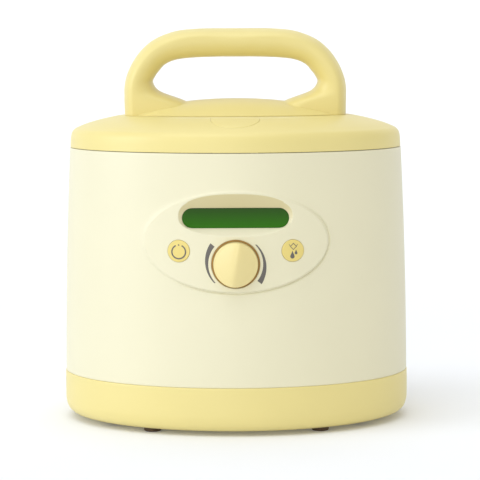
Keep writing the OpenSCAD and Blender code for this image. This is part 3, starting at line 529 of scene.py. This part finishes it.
def display_recess():
    """Cutter for the funnel that narrows from the panel to the window, and for the window's own hole."""
    u = np.r_[np.linspace(1, 0, 37)[:-1], np.linspace(0, 1, 37)[:-1]]
    u = np.r_[u, u]
    side = np.repeat([1, -1, -1, 1], 36)
    up = np.repeat([1, 1, -1, -1], 36)
    power, angle = 2 / RECESS_CURVE, u * math.pi / 2
    mouth = np.stack([side * RECESS_HALF * np.sin(angle) ** power,
                      RECESS_Z + np.where(up > 0, RECESS_RISE, -RECESS_FALL) * np.cos(angle) ** power], 1)
    along = u**0.8 * (WINDOW_HALF + WINDOW_R * math.pi / 2)
    turn = np.maximum(0, along - WINDOW_HALF) / WINDOW_R
    normal = np.stack([side * np.sin(turn), up * np.cos(turn)], 1)
    edge = np.stack([side * np.minimum(along, WINDOW_HALF), np.full(u.shape, WINDOW.z)], 1)
    edge = edge + WINDOW_R * normal
    away = mouth - edge
    away /= np.linalg.norm(away, axis=1)[:, None]
    surface = front_y(mouth[:, 0], mouth[:, 1])
    rings = [(edge + normal * 0.08, np.full(u.shape, y))
             for y in (-58, WINDOW_LOW.y + 0.5, WINDOW_LOW.y + 0.1)]
    for share in (0.03, 0.08, 0.3, 0.6, 0.9, 0.97):
        rings.append((edge + (mouth - edge) * share, WINDOW_LOW.y + (surface - WINDOW_LOW.y) * share))
    for out, down in ((0.12, 0.02), (0.35, -0.05), (1.0, -1), (1.0, -8)):
        rings.append((mouth + away * out, surface + down))
    return loft("cutter", [np.stack([p[:, 0], y, p[:, 1]], 1) for p, y in rings])


def cylinder_y(name, x, z, r, y0, y1, ease=0.0):
    t = ROUND[::3]
    steps = [(r - ease, y0), (r, y0 + ease), (r, y1 - ease), (r - ease, y1)] if ease else [(r, y0), (r, y1)]
    return loft(name, [np.stack([x + s * np.cos(t), np.full(t.shape, y), z + s * np.sin(t)], 1)
                       for s, y in steps])


def cylinder_x(name, y, z, r, x0, x1, ease=0.4):
    t = ROUND[::3]
    steps = [(r - ease, x0), (r, x0 + ease), (r, x1 - ease), (r - ease, x1)]
    return loft(name, [np.stack([np.full(t.shape, x), y + s * np.cos(t), z + s * np.sin(t)], 1)
                       for s, x in steps])


def base():
    """The tray under the housing, rolled in towards the floor."""
    half = span("base_tray")[1].x
    outside = smooth_line([(88.5, BASE_Z), (91.8, 3.7), (94.0, 6), (95.1, 9.5), (half, 14.5),
                           (half, SEAM_Z - 0.6)], 30)
    rim = [(half - 0.08, SEAM_Z - 0.25), (half - 0.3, SEAM_Z - 0.06), (half - 0.6, SEAM_Z),
           (half - 2.9, SEAM_Z), (half - 3.1, SEAM_Z - 0.3)]
    inside = [(half - 3.2, 20), (half - 3.6, 9), (half - 5, 6.4), (half - 7, 5.5)]
    tray = loft("base", [oval(r, z) for r, z in [*outside, *rim, *inside]])
    vents = [block("cutter", (x - 1, 28, 0), (x + 1, 52, 8)) for x in range(-18, 19, 6)]
    carve(tray, vents)
    low, high = span("base_screws")
    spread = [(high.x - 2.8, high.y - 2.8), (low.x + 2.8, high.y - 2.8),
              (high.x - 2.8, low.y + 2.8), (low.x + 2.8, low.y + 2.8)]
    carve(tray, [lathe("cutter", [(3.6, 0), (3.2, 3.4), (3.2, 13.5)], spot, 32) for spot in spread])
    return finish_piece(tray, "housing", YELLOW, ["base_tray"])


def feet():
    for side in ("front_left", "front_right", "rear_left", "rear_right"):
        node = "foot_" + side
        c = middle(node)
        profile = [(3.9, 0), (4.35, 0.2), (4.6, 0.7), (4.6, BASE_Z - 0.1), (2.2, BASE_Z), (2.2, 5.6),
                   (2.9, 5.7), (2.1, 7.3)]
        finish_piece(lathe(node + "_pad", profile, (c.x, c.y)), "housing",
                     MATERIALS["foot_rubber"], [node])


# ---- Panel fittings ----


def window():
    """The flat green filter over the display, at the bottom of the recess."""
    line, normal = stadium(WINDOW_HALF)
    rings = []
    for inward, y in ((0.6, WINDOW_LOW.y), (0.2, WINDOW_LOW.y), (0.05, WINDOW_LOW.y + 0.06),
                      (0, WINDOW_LOW.y + 0.2), (0, WINDOW_HIGH.y)):
        p = line + (WINDOW_R - inward) * normal
        rings.append(np.stack([p[:, 0], np.full(len(p), y), p[:, 1] + WINDOW.z], 1))
    return finish_piece(loft("window", rings), "housing", GREEN_GLASS, ["display_window"])


def knob():
    """Round dial with a soft ridge across its face, leaning a little to the right."""
    crest = span("vacuum_knob")[0].y
    back = front_y(0.0, KNOB.z) + 1.2
    edge = 0.9
    t = np.linspace(0, 2 * math.pi, 144, endpoint=False)

    def face(x, z):
        off = x * math.cos(KNOB_TURN) - z * math.sin(KNOB_TURN)
        return crest + KNOB_SLOPE * (np.sqrt(off**2 + 1.8**2) - 1.8) + 1.5 * (z / KNOB_R) ** 2

    rings = []
    for r in [0.05, *np.linspace(0.5, KNOB_R - edge, 30)]:
        x, z = r * np.cos(t), r * np.sin(t)
        rings.append(np.stack([x, face(x, z), KNOB.z + z], 1))
    rim = face((KNOB_R - edge) * np.cos(t), (KNOB_R - edge) * np.sin(t))
    for a in np.linspace(0.25, math.pi / 2, 6):
        r = KNOB_R - edge + edge * math.sin(a)
        rings.append(np.stack([r * np.cos(t), rim + edge * (1 - math.cos(a)), KNOB.z + r * np.sin(t)], 1))
    rings.append(np.stack([KNOB_R * np.cos(t), np.full(t.shape, back), KNOB.z + KNOB_R * np.sin(t)], 1))
    return finish_piece(loft("knob", rings), "vacuum_dial", KNOB_YELLOW,
                        ["vacuum_knob"], sharp=60)


def dial_painted_shadow():
    """Brown ring in the gap round the knob, a sheet of painted shadow."""
    t = np.linspace(0, 2 * math.pi, 96, endpoint=False)
    y = front_y(0.0, KNOB.z)
    rings = [np.stack([r * np.cos(t), np.full(t.shape, y + down), KNOB.z + r * np.sin(t)], 1)
             for r, down in ((KNOB_R + 0.15, 1.3), (KNOB_R + 0.15, 0.55), (KNOB_R + 0.3, 0.4),
                             (KNOB_R + 0.8, 0.4), (KNOB_R + 1.0, 0.55), (KNOB_R + 1.0, 1.3))]
    # painted shadow: a dark brown sheet stands for the shade in the gap round the knob
    finish_piece(loft("dial_painted_shadow", rings, cycle=True), "housing",
                 material("dial_painted_shadow", (0.36, 0.20, 0.045), 0.6, mottle=0.1, mottle_scale=300, edge=0))


def buttons():
    for name, x in BUTTONS.items():
        cap = plug(name + "_cap", on_key(x), (x, BUTTON_Z), BUTTON_R, BUTTON_RISE, 4.4, edge=0.3,
                   crown=BUTTON_CROWN)
        finish_piece(cap, name + "_key", BUTTON_YELLOW, [name + "_button"], sharp=60)


def printed(name, place, edges, body):
    finish_piece(ribbon(name, place, edges), body, INK, sharp=30)


def dial_marks():
    """Two crescents beside the knob that grow with the vacuum."""
    for start, name in ((140, "left"), (322, "right")):
        edges = []
        for k in np.linspace(0, 1, 40):
            a = math.radians(start + 83 * k)
            inner, thick = 14.4, 0.6 + 2.2 * (1 - k) ** 1.25
            thick *= math.sqrt(max(0.04, 1 - max(0, (k - 0.97) / 0.03) ** 2))
            edges.append([(r * math.cos(a), KNOB.z + r * math.sin(a)) for r in (inner, inner + thick)])
        printed("crescent_" + name, on_front, edges, "housing")


def on_cap(u, v, depth):
    return on_front(u, v, depth - BUTTON_RISE - BUTTON_CROWN)


def button_marks():
    """Generic symbols: a broken ring with a dot, and two drops under a small outline."""
    x, z = BUTTONS["power"], BUTTON_Z - 0.4
    arc = []
    for a in np.radians(np.linspace(115, 425, 48)):
        arc.append([(x + r * math.cos(a), z + r * math.sin(a)) for r in (3.25, 3.95)])
    printed("power_ring", on_cap, arc, "power_key")
    printed("power_dot", on_cap, disc(x, z + 3.6, 0.38), "power_key")
    x, z = BUTTONS["letdown"], BUTTON_Z - 0.4
    printed("drop_large", on_cap, drop(x - 0.2, z - 2.6, 1.15), "letdown_key")
    printed("drop_small", on_cap, drop(x + 1.7, z - 0.9, 0.72), "letdown_key")
    corners = [(1.85, 0), (0, 1.9), (-1.85, 0), (0, -1.85), (1.85, 0)]
    frame_line = [[(x + 0.3 + k * a, z + 2.6 + k * b) for k in (0.75, 1.0)] for a, b in corners]
    printed("letdown_outline", on_cap, frame_line, "letdown_key")
    for side in (-1, 1):
        tick = [[(x + 0.3 + side * a, z + 2.6 + b + w) for w in (0, 0.4)]
                for a, b in ((1.5, 0.0), (2.3, 0.9))]
        printed("letdown_tick", on_cap, tick, "letdown_key")


def disc(x, z, r):
    return [[(x - r * math.cos(a), z + r * math.sin(a)), (x + r * math.cos(a), z + r * math.sin(a))]
            for a in np.radians(np.linspace(-85, 85, 9))]


def drop(x, z, r):
    """A drop: a round bottom of radius r and a point above."""
    edges = [[(x - r * math.cos(a), z + r * math.sin(a)), (x + r * math.cos(a), z + r * math.sin(a))]
             for a in np.radians(np.linspace(-85, 25, 10))]
    top = z + 2.6 * r
    for k in np.linspace(0.15, 1, 7):
        w = r * math.cos(math.radians(25)) * (1 - k) ** 1.25 + 0.04
        h = z + r * math.sin(math.radians(25)) * (1 - k) + top * k - z * k
        edges.append([(x - w, h), (x + w, h)])
    return edges


# ---- Diaphragms ----


def diaphragms():
    """Rubber discs, clamped at the rim, that roll up from the plates in their middle."""
    plate_r, port_r, thick = 9, 20, 1.5
    for side in ("left", "right"):
        node = "diaphragm_" + side
        low, high = span(node)
        r = np.linspace(plate_r + 0.5, port_r - 1.5, 14)
        roll = low.z + (high.z - thick - low.z) * smooth_step((r - r[0]) / (r[-1] - r[0]))
        under = [(0.3, low.z), (5, low.z), *zip(r, roll), (high.x - middle(node).x, high.z - thick)]
        over = [(a, z + thick) for a, z in under[::-1]]
        spot = (middle(node).x, middle(node).y)
        piece = lathe(node + "_rubber", under + over, spot, 72)
        piece.data.materials.append(MATERIALS["silicone"])
        piece.data.shade_smooth()
        piece.data.set_sharp_from_angle(angle=math.radians(50))
        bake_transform(piece)
        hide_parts(node)


# ---- Lid ----


def lid():
    outside = [oval(r, z) for r, z in LID_OUTSIDE]
    rim = [oval(91.3, LID_Z), oval(88.6, LID_Z), oval(88.4, LID_Z + 0.2)]
    inside = [oval(r, z) for r, z in [(20, 164), (58, 164), (66, 163), (80, 159.6), (86.6, 157),
                                      (88.2, 154.5)]]
    top = [oval(40, PLATEAU_Z + 0.1), oval(12, PLATEAU_Z + 0.1)]
    cover = loft("lid", [*inside, *rim[::-1], *outside, *top])
    carve(cover, [pocket(on_lid, (0, RELEASE_Y), 0, RELEASE_R + 0.1, 9, lip=0.12)])
    for side in (-1, 1):
        low, high = sorted((side * 14.3, side * 26))
        barrel = cylinder_x("barrel", HINGE.y, HINGE.z, HINGE_R, low, high)
        arm = block("arm", (low, 69.6, LID_Z + 0.4), (high, HINGE.y, HINGE.z + 4.1))
        carve(barrel, [arm], "UNION")
        carve(barrel, [loft("cutter", [oval(r, z) for r, z in [(86.6, 140), (86.6, 158), (60, 164)]])])
        carve(cover, [barrel], "UNION")
    carve(cover, [cylinder_x("bore", HINGE.y, HINGE.z, LID_BORE, -30, 30)])
    return finish_piece(cover, "lid", YELLOW, ["lid_cover"])


def latch_spring():
    """Coil spring behind the latch."""
    low, high = span("latch_spring")
    centre_z, wire = middle("latch_spring").z, 0.4
    radius = (high.x - low.x) / 2 - wire
    rings = []
    around = np.linspace(0, 2 * math.pi, 10, endpoint=False)[:, None]
    turns = np.linspace(0, 12 * math.pi, 145)
    for t, y in zip(turns, np.linspace(low.y + wire, high.y - wire, len(turns))):
        outward = np.array([math.cos(t), 0, math.sin(t)])
        rings.append((0, y, centre_z) + radius * outward + wire * (
            np.cos(around) * outward + np.sin(around) * np.array([0, 1, 0])))
    coil = finish_piece(loft("latch_coil", rings), "lid", MATERIALS["steel"], ["latch_spring"])
    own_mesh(coil)


def release_button():
    cap = plug("release_button", on_lid, (0, RELEASE_Y), RELEASE_R, 0.15, 4.0, edge=0.35, crown=0.3)
    return finish_piece(cap, "lid_button", YELLOW, ["lid_release_button"], sharp=60)


def handle_section(width, depth):
    """Section across the handle: u from the inner to the outer edge, v from front to back."""
    soft = min(13, width - 5.5)
    corners = [(5.5, 12, 1.85, -90), (5.5, 12, 1.85, 0), (soft, 13.5, 2.3, 90), (soft, 13.5, 2.3, 180)]
    points = []
    for a, b, power, start in corners:
        side = 1 if start < 90 else -1
        for t in np.radians(start + np.linspace(0, 90, 13)):
            c, s = math.cos(t), math.sin(t)
            u = side * (width / 2 - a + a * abs(c) ** (2 / power))
            v = math.copysign(depth / 2 - b + b * abs(s) ** (2 / power), s)
            points.append((u, v))
    return np.array(points)


def handle():
    """Carrying handle: a rounded loop that flares into a low dome."""
    top, spring = HANDLE_TOP + 0.1, 185
    t = np.radians([14, 30, 44, 58, 73, 84, 90])
    outer = [(61, PLATEAU_Z - 2), (61.2, 172), (61.3, 178.5), (61.2, 183)]
    outer += list(zip(60.9 * np.cos(t) ** 0.465, spring + (top - spring) * np.sin(t) ** 1.48))
    inner = [(14, PLATEAU_Z - 2), (26.5, 174.4), (42.6, 181), (45.5, 185.4), (44.3, 188.6), (42.1, 191.6),
             (39, 195), (33.5, 197.5), (24, 198.8), (10, 199.3), (0, 199.3)]
    half = []
    for x0, z0, x1, z1 in smooth_line([(*o, *i) for o, i in zip(outer, inner)], 90):
        across = np.array([x0 - x1, z0 - z1])
        width = np.linalg.norm(across)
        across /= width
        s = handle_section(width, HANDLE_D)
        half.append(np.stack([(x0 + x1) / 2 + s[:, 0] * across[0], s[:, 1],
                              (z0 + z1) / 2 + s[:, 0] * across[1]], 1))
    left = [ring * (-1, 1, 1) for ring in half[:-1]]
    bow = loft("handle", half + left[::-1])
    dome = []
    for rho in (1.0, 1.0, 0.995, 0.98, 0.95, 0.9, 0.8, 0.65, 0.5, 0.35, 0.2, 0.08):
        z = PLATEAU_Z + 0.5 + 8.7 * (1 - rho**2.2)
        dome.append(oval(HANDLE_HALF * rho, z if len(dome) else PLATEAU_Z - 1, 0.5))
    dome = loft("dome", dome)
    carve(bow, [dome], "UNION")
    carve(bow, [block("cutter", (-90, -60, PLATEAU_Z - 10), (90, 60, PLATEAU_Z + 0.15))])
    return finish_piece(bow, "lid", YELLOW, ["carrying_handle"], sharp=50)


# ---- Light, floor and camera ----


def sun(name, towards, spread, power, colour=(1, 1, 1)):
    """A distant soft light that comes from the direction given."""
    data = bpy.data.lights.new(name, "SUN")
    data.angle, data.energy, data.color = math.radians(spread), power, colour
    lamp = bpy.data.objects.new(name, data)
    lamp.rotation_euler = Vector(towards).to_track_quat("Z", "Y").to_euler()
    bpy.context.scene.collection.objects.link(lamp)


def studio():
    """Pale floor and backdrop that glow a little, under large soft lights, strongest from the left."""
    scene = bpy.context.scene
    scene.view_settings.view_transform = "Standard"
    world = bpy.data.worlds.new("sky")
    scene.world = world
    world.use_nodes = True
    sky = world.node_tree.nodes["Background"]
    sky.inputs["Color"].default_value = (1, 1, 1, 1)
    sky.inputs["Strength"].default_value = 0.46
    profile = [(-6, 0), (3, 0)] + [(3 + 1.5 * math.sin(a), 1.5 - 1.5 * math.cos(a))
                                  for a in np.linspace(0.1, math.pi / 2, 10)] + [(4.5, 7)]
    sweep = bpy.data.meshes.new("floor")
    points = [(x, y, z) for x in (-8, 8) for y, z in profile]
    n = len(profile)
    sweep.from_pydata(points, [], [(k, k + n, k + n + 1, k + 1) for k in range(n - 1)])
    sweep.shade_smooth()
    floor = bpy.data.objects.new("floor", sweep)
    scene.collection.objects.link(floor)
    white = bpy.data.materials.new("studio_white")
    white.use_nodes = True
    shader = white.node_tree.nodes["Principled BSDF"]
    shader.inputs["Base Color"].default_value = (0.80, 0.81, 0.83, 1)
    shader.inputs["Roughness"].default_value = 0.9
    shader.inputs["Emission Color"].default_value = (1, 1, 1, 1)
    shader.inputs["Emission Strength"].default_value = 0.08
    sweep.materials.append(white)
    sun("left", (-0.9, -0.3, 0.3), 40, 1.22, (0.88, 0.92, 1.0))
    sun("above", (-0.2, -0.35, 0.92), 50, 1.15, (0.92, 0.96, 1.0))
    sun("front", (-0.25, -0.95, 0.15), 40, 0.7, (1.0, 0.95, 0.8))
    sun("behind", (0.1, 0.45, 0.9), 60, 0.5)
    sun("right", (0.85, -0.35, 0.4), 50, 0.3, (1.0, 0.9, 0.7))


def camera():
    data = bpy.data.cameras.new("camera")
    data.sensor_width = 36
    data.lens = 168.2
    view = bpy.data.objects.new("camera", data)
    view.location = (0.0023, -1.2447, 0.2155)
    tilt = Matrix.Rotation(math.radians(90 - 5.42), 3, "X") @ Matrix.Rotation(math.radians(-0.24), 3, "Z")
    view.rotation_euler = tilt.to_euler()
    bpy.context.scene.collection.objects.link(view)
    bpy.context.scene.camera = view


housing()
base()
feet()
window()
knob()
dial_painted_shadow()
buttons()
dial_marks()
button_marks()
diaphragms()
lid()
latch_spring()
release_button()
handle()
studio()
camera()
